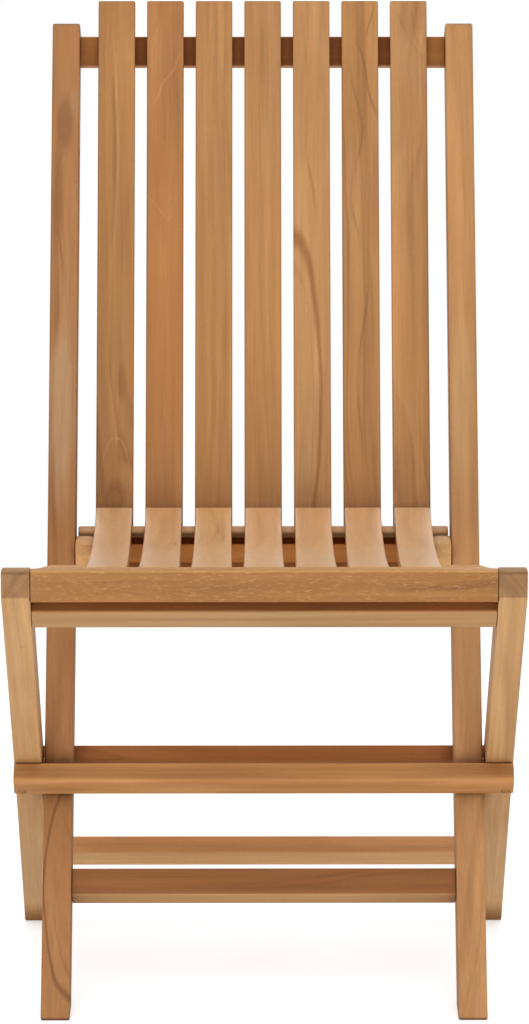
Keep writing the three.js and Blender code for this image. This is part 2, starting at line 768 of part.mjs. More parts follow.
// The lug stands deeper than its rail, in the gap between the outermost back slat and the stile
function lugOutline() {
  const front = pinOpen.x - lug.beforePin;
  const bottom = pinOpen.y - lug.belowPin;
  const heel = at(sideRear, bottom);
  const toe = at(front, bottom);
  const order = turned([
    dishAt(front, seatSlat.thick + fit), dishAt(pinOpen.x, seatSlat.thick + fit),
    dishAt(sideRear, seatSlat.thick + fit), heel, toe,
  ]);
  const rounded = new Map([[heel, lug.round], [toe, roundOver]]);
  return outline(order, order.map((corner) => rounded.get(corner) ?? 0));
}

// A side rail under the outermost slat, with a lug at its rear end that carries the slide pin
function addSideRails() {
  const cross = crossRailSection();
  const rail = sideOutline(slatStart, sideRear, fit, sideRail.depth);
  const neckFront = pinOpen.x - lug.beforePin + fit;
  const neck = sideOutline(neckFront, sideRear - fit, 2 * fit, sideRail.depth - 2 * fit);
  const sideMiddle = sideInner + sideRail.thick / 2;
  for (const [hand, side] of [['right', 1], ['left', -1]]) {
    const body = acrossX(rail, ...stretch(side, sideInner, sideInner + sideRail.thick));
    const joins = [
      acrossX(neck, ...stretch(side, sideMiddle, lugOuter - lug.thick / 2), 0),
      acrossX(lugOutline(), ...stretch(side, lugOuter - lug.thick, lugOuter)),
      acrossX(sideTenonShape(0), ...sideTenonStretch(side, 0), 0),
    ];
    const pinHole = stretch(side, lugOuter - slidePin.inRail - fit, lugOuter + overrun);
    const cuts = [
      rod(pinOpen, ...pinHole, slidePin.radius + fit),
      mortise(cross, side, sideInner, crossRail.tenon),
    ];
    addPiece(`seat_side_rail_${hand}`, shaped(body, { joins, cuts }), teak.seat);
  }
  addPiece('seat_cross_rail', tenonedRail(cross, sideInner, crossRail.tenon), teak.rail);
}

// The batten that ties the seat slats' upturned ends lies under them, behind the side rails
function addTieBatten() {
  const middle = sideRear + tieBatten.behindRails + tieBatten.depth / 2;
  const { point, along, down } = underSlats(middle);
  const front = moved(point, along, -tieBatten.depth / 2);
  const shape = outline(
    turned(block(front, along, tieBatten.depth, down, tieBatten.height)), allCorners(roundOver),
  );
  const half = stileInner - tieBatten.fromStile;
  addPiece('seat_tie_batten', acrossX(shape, -half, half), teak.rail);
}

// Metal: pivot bolts with washers and nuts, hinge pins, slide pins

function lathed(profile, center, side) {
  const geometry = new THREE.LatheGeometry(profile.map(([r, x]) => new THREE.Vector2(r, x)), roundSides);
  geometry.rotateZ(side > 0 ? -Math.PI / 2 : Math.PI / 2);
  geometry.translate(0, center.x, center.y);
  return geometry;
}

function ring(radius, bore, x0, x1) {
  return [[bore, x0], [radius, x0], [radius, x1], [bore, x1], [bore, x0]];
}

function addPivotHardware(hand, side) {
  const outer = legSpan / 2 - pivotBolt.sunk;
  const tip = nutFace - pivotNut.thick - pivotBolt.tail;
  const bore = pivotBolt.radius + fit;
  addPiece(`pivot_bolt_${hand}`, lathed([
    [0, tip], [pivotBolt.radius - ease / 2, tip], [pivotBolt.radius, tip + ease / 2],
    [pivotBolt.radius, outer - pivotBolt.headDepth],
    [pivotBolt.headRadius, outer - pivotBolt.headDepth],
    [pivotBolt.headRadius, outer - ease / 2], [pivotBolt.headRadius - ease, outer], [0, outer],
  ], pivot, side), brass, true);
  addPiece(
    `pivot_washer_${hand}`,
    lathed(ring(pivotWasher.radius, bore, stileOuter + fit, legInner - fit), pivot, side), brass, true,
  );
  const nut = rod(pivot, ...stretch(side, nutFace - pivotNut.thick, nutFace), pivotNut.radius, 6);
  const hole = rod(pivot, ...stretch(side, nutFace - pivotNut.thick - overrun, nutFace + overrun), bore);
  addPiece(`pivot_nut_${hand}`, shaped(nut, { cuts: [hole] }), brass, true);
}

function addPins(hand, side) {
  const hingeOuter = legSpan / 2 - hingePin.sunk;
  const hingeInner = railEnd - hingePin.inRail + fit;
  const hingeReach = stretch(side, hingeInner, hingeOuter);
  addPiece(`seat_hinge_pin_${hand}`, rod(hinge, ...hingeReach, hingePin.radius), brass, true);
  const reach = stretch(side, lugOuter - slidePin.inRail, stileInner + slidePin.inGroove);
  addPiece(`seat_slide_pin_${hand}`, rod(pinOpen, ...reach, slidePin.radius), brass, true);
}

addStileFrame();
addBackSlats();
addLegFrame();
addFrontRail();
addSideRails();
addTieBatten();
addSeatSlats();
for (const [hand, side] of [['right', 1], ['left', -1]]) {
  addPivotHardware(hand, side);
  addPins(hand, side);
}

// The origin goes to the floor in the middle of the chair
const box = new THREE.Box3().setFromObject(chair);
const centre = box.getCenter(new THREE.Vector3());
chair.position.set(0, -centre.y, -box.min.z);

const asPrinted = (point) => `${(point.x - centre.y).toFixed(3)}, ${(point.y - box.min.z).toFixed(3)}`;
console.log(`pivot y, z: ${asPrinted(pivot)}   seat hinge y, z: ${asPrinted(hinge)}`);
console.log(`slide pin open y, z: ${asPrinted(pinOpen)}   folded y, z: ${asPrinted(pinFolded)}`);

export default chair;
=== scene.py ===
import math

import bpy
from mathutils import Euler, Matrix, Vector

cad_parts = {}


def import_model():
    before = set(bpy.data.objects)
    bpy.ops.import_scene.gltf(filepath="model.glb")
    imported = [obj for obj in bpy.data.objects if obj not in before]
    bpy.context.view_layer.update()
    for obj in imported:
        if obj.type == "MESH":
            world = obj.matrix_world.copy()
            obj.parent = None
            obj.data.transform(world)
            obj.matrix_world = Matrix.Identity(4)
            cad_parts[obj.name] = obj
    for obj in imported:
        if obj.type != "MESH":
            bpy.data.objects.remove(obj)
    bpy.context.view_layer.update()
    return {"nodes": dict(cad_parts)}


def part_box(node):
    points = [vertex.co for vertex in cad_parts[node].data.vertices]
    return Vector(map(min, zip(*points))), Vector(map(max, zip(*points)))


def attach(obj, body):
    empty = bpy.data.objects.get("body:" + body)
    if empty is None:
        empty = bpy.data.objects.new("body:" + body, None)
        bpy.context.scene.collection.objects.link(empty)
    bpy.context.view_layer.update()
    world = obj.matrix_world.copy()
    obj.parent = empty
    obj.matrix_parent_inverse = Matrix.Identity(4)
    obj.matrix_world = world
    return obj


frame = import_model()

NODES = frame["nodes"]
SLATS = 7
SLAT_PITCH = 0.0501

# from how far away another surface darkens a recess with painted shade
RECESS_SHADE_REACH = 0.03

# the finish of the CAD pieces' edges
WELD_DISTANCE = 0.000005
FLAT_DEGREES = 0.2
EDGE_DEGREES = 50
WOOD_EDGE = 0.0005
METAL_EDGE = 0.0003

# factors for the three channels of a board's tone
LIGHT_LAYER = (1.10, 1.10, 1.10)
DEEP_LAYER = (0.84, 0.78, 0.72)
CLOUD = (0.78, 0.70, 0.62)
FLAME = (0.86, 0.74, 0.62)
WARM = (1.06, 0.93, 0.74)
LAYER_EDGE = (0.42, 0.34, 0.28)
FLECK = (1.45, 1.60, 1.80)
END_GRAIN = (0.62, 0.62, 0.63)
# painted shade: the factors that darken a recess near other surfaces
RECESS_SHADE = (0.50, 0.36, 0.24)

# metal, as screen colours
BRASS_BRIGHT = (202, 168, 104)
BRASS_DULL = (146, 112, 62)

# a screw head's cross recess and the turn of the screws in a row; millimetres, radians
CROSS_HALF_WIDTH = 0.42
CROSS_HALF_LENGTH = 1.95
CROSS_DEPTH = 0.4
FIRST_TURN = 0.3
NEXT_TURN = 0.7

# stage
FLOOR_RADIUS = 4.0
FLOOR_SIDES = 64
FLOOR_COLOUR = (0.83, 0.86, 0.90, 1)
FLOOR_GLOW = 0.46
FLOOR_FADE = (0.7, 1.5)
SOFT_LIGHT = (1.0, 0.99, 0.975, 1)
SOFT_STRENGTH = 0.68
WHITE = (1, 1, 1, 1)

# the camera as fitted to the photograph: metres and degrees
PICTURE_HEIGHT = 1024
FOCAL_PIXELS = 4700
SENSOR = 36.0
CAMERA_PLACE = (-0.0127, -4.5394, 1.5534)
CAMERA_PITCH = 13.7
CAMERA_YAW = -0.174


# node helpers

class Tree:
    """Short-hand for building one material's node tree."""

    def __init__(self, name):
        self.mat = bpy.data.materials.new(name)
        self.mat.use_nodes = True
        self.tree = self.mat.node_tree
        self.tree.nodes.clear()
        self.out = self.add("ShaderNodeOutputMaterial")

    def add(self, kind, **props):
        node = self.tree.nodes.new(kind)
        for key, value in props.items():
            setattr(node, key, value)
        return node

    def put(self, socket, value):
        if isinstance(value, bpy.types.NodeSocket):
            self.tree.links.new(value, socket)
        elif value is not None:
            socket.default_value = value

    def math(self, operation, a, b=None, c=None, clamp=False):
        node = self.add("ShaderNodeMath", operation=operation, use_clamp=clamp)
        for socket, value in zip(node.inputs, (a, b, c)):
            self.put(socket, value)
        return node.outputs[0]

    def vector(self, operation, a, b=None):
        node = self.add("ShaderNodeVectorMath", operation=operation)
        self.put(node.inputs[0], a)
        if b is not None:
            self.put(node.inputs[1], b)
        return node.outputs["Value" if operation in ("DOT_PRODUCT", "LENGTH") else "Vector"]

    def noise(self, vector, scale, detail=2.0, rough=0.5, seed=0.0, distortion=0.0):
        node = self.add("ShaderNodeTexNoise", noise_dimensions="4D")
        self.put(node.inputs["Vector"], vector)
        self.put(node.inputs["W"], seed)
        node.inputs["Scale"].default_value = scale
        node.inputs["Detail"].default_value = detail
        node.inputs["Roughness"].default_value = rough
        node.inputs["Distortion"].default_value = distortion
        return node.outputs["Fac"]

    def line_noise(self, value, detail=2.0, rough=0.5):
        node = self.add("ShaderNodeTexNoise", noise_dimensions="1D")
        self.put(node.inputs["W"], value)
        node.inputs["Scale"].default_value = 1.0
        node.inputs["Detail"].default_value = detail
        node.inputs["Roughness"].default_value = rough
        return node.outputs["Fac"]

    def ramp(self, value, low, high, to_low=0.0, to_high=1.0):
        node = self.add("ShaderNodeMapRange", interpolation_type="SMOOTHSTEP", clamp=True)
        self.put(node.inputs["Value"], value)
        numbers = {"From Min": low, "From Max": high, "To Min": to_low, "To Max": to_high}
        for key, number in numbers.items():
            node.inputs[key].default_value = number
        return node.outputs[0]

    def mix(self, factor, a, b, blend="MIX"):
        node = self.add("ShaderNodeMix", data_type="RGBA", blend_type=blend)
        self.put(node.inputs[0], factor)
        for socket, value in ((node.inputs[6], a), (node.inputs[7], b)):
            if isinstance(value, tuple) and len(value) == 3:
                value = (*value, 1.0)
            self.put(socket, value)
        return node.outputs[2]


def srgb(red, green, blue):
    """Linear colour of an 8-bit screen colour."""
    def linear(v):
        v /= 255
        return v / 12.92 if v <= 0.04045 else ((v + 0.055) / 1.055) ** 2.4
    return (linear(red), linear(green), linear(blue))


# Teak

def lean(degrees):
    """Rotation that takes the grain of a member, leaning rearward by so much, to Z."""
    return (math.radians(degrees), 0.0, 0.0)


ALONG_X = (0.0, -math.pi / 2, 0.0)


def shade(tone, red, green, blue):
    """A screen colour in linear light, times a factor for each channel."""
    return tuple(v * f for v, f in zip(srgb(*tone), (red, green, blue)))


def teak(name, node, turn, seed, tone, pith=(0.06, 0.11), tilt=0.02, bands=70.0,
         stripe=0.6, lines=0.3, wander=0.010, blotch=0.6, fibre=0.42, rough=0.5, figure=0.07,
         end_dark=1.0, gloss=0.18, marks=(), rings=(), veins=(), face_tone_and_light=None, recess=0.95):
    """Solid teak: growth layers round a pith line beside the board, fibres along it, end grain
    where a face cuts across. The tone is an 8-bit screen colour, places are in metres off the
    middle as (across, along), and factors are for the tone's three channels.
    mark: across, along, half width, half length, amount, factors
    ring: the same, then the line's thickness as a share of the radius
    vein: across, along, half length, slope, swing, wavelength, phase, line width, amount, factors
    face_tone_and_light: a direction in degrees above the front, and the factors of the faces turned there; then,
    if the two ends differ, how far from the middle they start, and their own factors"""
    t = Tree(name)
    low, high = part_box(node)
    middle = (low + high) / 2
    rotation = Euler(turn).to_matrix()
    place = -(rotation @ middle)

    coord = t.add("ShaderNodeTexCoord")
    mapping = t.add("ShaderNodeMapping")
    t.put(mapping.inputs["Vector"], coord.outputs["Object"])
    mapping.inputs["Rotation"].default_value = turn
    mapping.inputs["Location"].default_value = place
    board = mapping.outputs["Vector"]

    def grain(across, along, detail, roughness, shift, distortion=0.0):
        stretched = t.vector("MULTIPLY", board, (across, across, along))
        return t.noise(stretched, 1.0, detail, roughness, seed + shift, distortion)

    # the grain wanders slowly along the board
    def sway(shift):
        slow = t.math("MULTIPLY_ADD", grain(9.0, 2.2, 1.0, 0.5, shift), wander * 2, -wander)
        quick = t.math("MULTIPLY_ADD", grain(22.0, 7.0, 1.0, 0.5, shift + 1.7),
                       wander * 0.9, -wander * 0.45)
        return t.math("ADD", slow, quick)

    split = t.add("ShaderNodeSeparateXYZ")
    t.put(split.inputs[0], board)
    tilted = t.math("MULTIPLY_ADD", split.outputs[2], tilt, split.outputs[0])
    across = t.math("ADD", tilted, sway(0.3))
    tilted = t.math("MULTIPLY_ADD", split.outputs[2], tilt * 0.6, split.outputs[1])
    through = t.math("ADD", tilted, sway(7.7))
    from_pith = t.add("ShaderNodeCombineXYZ")
    t.put(from_pith.inputs[0], t.math("SUBTRACT", across, pith[0]))
    t.put(from_pith.inputs[1], t.math("SUBTRACT", through, pith[1]))
    radius = t.vector("LENGTH", from_pith.outputs[0])

    # growth layers: soft uneven bands, and dark edges where some of them end
    layer = t.math("MULTIPLY_ADD", radius, bands, seed * 3.1)
    soft = t.ramp(t.line_noise(t.math("MULTIPLY", layer, 2.1), 2.0, 0.55), 0.30, 0.72)
    edge = t.line_noise(t.math("MULTIPLY_ADD", layer, 0.9, 31.7), 1.0, 0.35)
    rim = t.math("MULTIPLY", t.ramp(edge, 0.470, 0.50), t.ramp(edge, 0.50, 0.60, 1.0, 0.0))
    rim = t.math("MULTIPLY", rim, t.ramp(grain(14.0, 3.5, 1.0, 0.5, 3.3), 0.40, 0.62))

    # fibres, pores, clouds and curl
    fine = grain(620.0, 9.0, 3.0, 0.6, 1.1)
    streak = grain(130.0, 3.0, 2.0, 0.5, 5.5)
    pores = t.ramp(grain(1500.0, 70.0, 1.0, 0.5, 2.2), 0.66, 0.76)
    cloud = t.ramp(grain(15.0, 4.2, 2.0, 0.5, 9.9), 0.36, 0.72)
    warm = grain(7.0, 2.0, 1.0, 0.5, 12.4)
    flame = t.ramp(grain(58.0, 7.5, 2.0, 0.55, 21.3, 0.5), 0.40, 0.66)
    curl = grain(90.0, 240.0, 2.0, 0.55, 4.4, 0.8)
    fleck = t.ramp(grain(520.0, 95.0, 2.0, 0.6, 8.8, 1.6), 0.50, 0.72)

    colour = t.mix(t.math("MULTIPLY", soft, stripe),
                   shade(tone, *LIGHT_LAYER), shade(tone, *DEEP_LAYER))
    colour = t.mix(t.math("MULTIPLY", cloud, blotch), colour, shade(tone, *CLOUD))
    colour = t.mix(t.math("MULTIPLY", flame, blotch * 0.7), colour, shade(tone, *FLAME))
    colour = t.mix(t.ramp(warm, 0.35, 0.65, 0.0, 0.5), colour, shade(tone, *WARM))
    colour = t.mix(t.math("MULTIPLY", rim, lines), colour, shade(tone, *LAYER_EDGE))
    ragged = t.math("MULTIPLY_ADD", grain(60.0, 14.0, 2.0, 0.6, 15.2), 0.9, -0.45)
    along = split.outputs[2]
    beside = t.math("MULTIPLY_ADD", sway(0.3), 0.25, split.outputs[0])

    def off_centre(x, z, half_width, half_length, waver):
        spot = t.add("ShaderNodeCombineXYZ")
        t.put(spot.inputs[0], t.math("MULTIPLY", t.math("SUBTRACT", beside, x), 1 / half_width))
        t.put(spot.inputs[1], t.math("MULTIPLY", t.math("SUBTRACT", along, z), 1 / half_length))
        return t.math("MULTIPLY_ADD", ragged, waver, t.vector("LENGTH", spot.outputs[0]))

    for x, z, half_width, half_length, amount, factors in marks:
        off = off_centre(x, z, half_width, half_length, 1.0)
        colour = t.mix(t.ramp(off, 0.5, 1.15, amount, 0.0), colour, shade(tone, *factors))
    for x, z, half_width, half_length, amount, factors, line in rings:
        off = off_centre(x, z, half_width, half_length, 0.25)
        off = t.math("ABSOLUTE", t.math("SUBTRACT", off, 1.0))
        colour = t.mix(t.ramp(off, 0.0, line, amount, 0.0), colour, shade(tone, *factors))
    for x, z, reach, slope, swing, wave, phase, line, amount, factors in veins:
        turn_along = t.math("SINE", t.math("MULTIPLY_ADD", along, 2 * math.pi / wave, phase))
        path = t.math("MULTIPLY_ADD", t.math("SUBTRACT", along, z), slope,
                      t.math("MULTIPLY_ADD", turn_along, swing, x))
        off = t.math("ABSOLUTE", t.math("SUBTRACT", beside, path))
        near = t.ramp(t.math("ABSOLUTE", t.math("SUBTRACT", along, z)),
                      reach * 0.5, reach * 1.1, amount, 0.0)
        faint = t.ramp(grain(24.0, 11.0, 1.0, 0.5, 18.6), 0.35, 0.62, 0.25, 0.9)
        inked = t.math("MULTIPLY", t.ramp(off, 0.0, line * 1.7, 1.0, 0.0),
                       t.math("MULTIPLY", near, faint))
        colour = t.mix(inked, colour, shade(tone, *factors))

    tone_down = t.math("MULTIPLY_ADD", fine, fibre, 1.0 - fibre / 2)
    streaks = t.math("MULTIPLY_ADD", streak, fibre * 1.2, 1.0 - fibre * 0.6)
    tone_down = t.math("MULTIPLY", tone_down, streaks)
    tone_down = t.math("MULTIPLY", tone_down, t.math("MULTIPLY_ADD", pores, -0.09, 1.0))
    tone_down = t.math("MULTIPLY", tone_down, t.math("MULTIPLY_ADD", curl, 0.07, 0.965))
    grey = t.add("ShaderNodeCombineColor")
    for socket in grey.inputs:
        t.put(socket, tone_down)
    colour = t.mix(1.0, colour, grey.outputs[0], "MULTIPLY")
    if figure:
        colour = t.mix(t.math("MULTIPLY", fleck, figure), colour, shade(tone, *FLECK))

    # end grain: darker and duller
    axis = rotation.inverted() @ Vector((0, 0, 1))
    facing = t.math("ABSOLUTE", t.vector("DOT_PRODUCT", coord.outputs["Normal"], tuple(axis)))
    end = t.math("MULTIPLY", t.ramp(facing, 0.55, 0.80), end_dark)
    colour = t.mix(end, colour, t.mix(1.0, colour, END_GRAIN, "MULTIPLY"))

    # one face can be made lighter or darker apart from the others: painted light on lit faces,
    # painted shade on faces in shadow, and for the legs the darker tone of the end-grain facet;
    # every recess gets painted shade, a deeper colour near other surfaces
    if face_tone_and_light:
        up = math.radians(face_tone_and_light[0])
        toward = (0.0, -math.cos(up), math.sin(up))
        turned = t.vector("DOT_PRODUCT", coord.outputs["Normal"], toward)
        deeper = (*face_tone_and_light[1], 1.0)
        if len(face_tone_and_light) > 2:
            reach, factors = face_tone_and_light[2]
            ends = t.ramp(t.math("ABSOLUTE", along), reach - 0.004, reach + 0.004)
            deeper = t.mix(ends, deeper, factors)
        colour = t.mix(t.ramp(turned, 0.6, 0.9), colour, t.mix(1.0, colour, deeper, "MULTIPLY"))
    # painted shade: ambient occlusion darkens every recess, as strongly as the share recess says
    occlusion_shade = t.add("ShaderNodeAmbientOcclusion", samples=6)
    occlusion_shade.inputs["Distance"].default_value = RECESS_SHADE_REACH
    colour = t.mix(t.ramp(occlusion_shade.outputs["AO"], 0.20, 0.85, recess, 0.0), colour,
                   t.mix(1.0, colour, RECESS_SHADE, "MULTIPLY"))

    shader = t.add("ShaderNodeBsdfPrincipled")
    t.put(shader.inputs["Base Color"], colour)
    t.put(shader.inputs["Roughness"], t.math(
        "ADD", t.math("MULTIPLY_ADD", fine, 0.14, rough - 0.07), t.math("MULTIPLY", end, 0.15)))
    shader.inputs["IOR"].default_value = 1.45
    shader.inputs["Specular IOR Level"].default_value = gloss
    bump = t.add("ShaderNodeBump")
    bump.inputs["Strength"].default_value = 0.22
    bump.inputs["Distance"].default_value = 0.0004
    t.put(bump.inputs["Height"], t.math("SUBTRACT", fine, t.math("MULTIPLY", pores, 0.5)))
    t.put(shader.inputs["Normal"], bump.outputs[0])
    t.put(t.out.inputs[0], shader.outputs[0])
    return t.mat


def brass(name):
    t = Tree(name)
    coord = t.add("ShaderNodeTexCoord")
    stain = t.noise(coord.outputs["Object"], 260.0, 3.0, 0.6)
    shader = t.add("ShaderNodeBsdfPrincipled")
    t.put(shader.inputs["Base Color"], t.mix(stain, srgb(*BRASS_BRIGHT), srgb(*BRASS_DULL)))
    shader.inputs["Metallic"].default_value = 1.0
    t.put(shader.inputs["Roughness"], t.math("MULTIPLY_ADD", stain, 0.25, 0.22))
    t.put(t.out.inputs[0], shader.outputs[0])
    return t.mat


# CAD pieces get their finish

def dress(node, material, metal=False):
    obj = NODES[node]
    obj.data.materials.clear()
    obj.data.materials.append(material)
    for polygon in obj.data.polygons:
        polygon.use_smooth = True
    weld = obj.modifiers.new("weld", "WELD")
    weld.merge_threshold = WELD_DISTANCE
    flat = obj.modifiers.new("flat", "DECIMATE")
    flat.decimate_type = "DISSOLVE"
    flat.angle_limit = math.radians(FLAT_DEGREES)
    edge = obj.modifiers.new("edge", "BEVEL")
    edge.width = METAL_EDGE if metal else WOOD_EDGE
    edge.segments = 2
    edge.limit_method = "ANGLE"
    edge.angle_limit = math.radians(EDGE_DEGREES)
    normal = obj.modifiers.new("normal", "WEIGHTED_NORMAL")
    normal.weight = 100
    normal.keep_sharp = False


STILE = lean(29)
LEG = lean(-40.5)
BACK = lean(24.9)
SEAT = lean(83)
SIDE = lean(98.5)

DARK_VEIN = (0.52, 0.44, 0.38)
PALE_VEIN = (1.28, 1.40, 1.55)
RED_CLOUD = (0.66, 0.52, 0.46)
FACET = (10, (0.63, 0.59, 0.58))
# painted sheen: the front of every seat slat is paler and whiter
SEAT_FRONT_SHEEN = (0.0, -0.060, 0.060, 0.130, 0.8, (1.03, 1.12, 1.24))
# painted shade: the lower end of every back slat, behind the seat, is darker
LOW_END_SHADE = (0.0, -0.225, 0.040, 0.045, 0.5, (0.80, 0.68, 0.60))
# painted light: the lower part of each rear leg, near the floor, is lighter
LOWER_LEG_LIGHT = (0.0, -0.250, 0.030, 0.200, 0.9, (1.15, 1.17, 1.22))

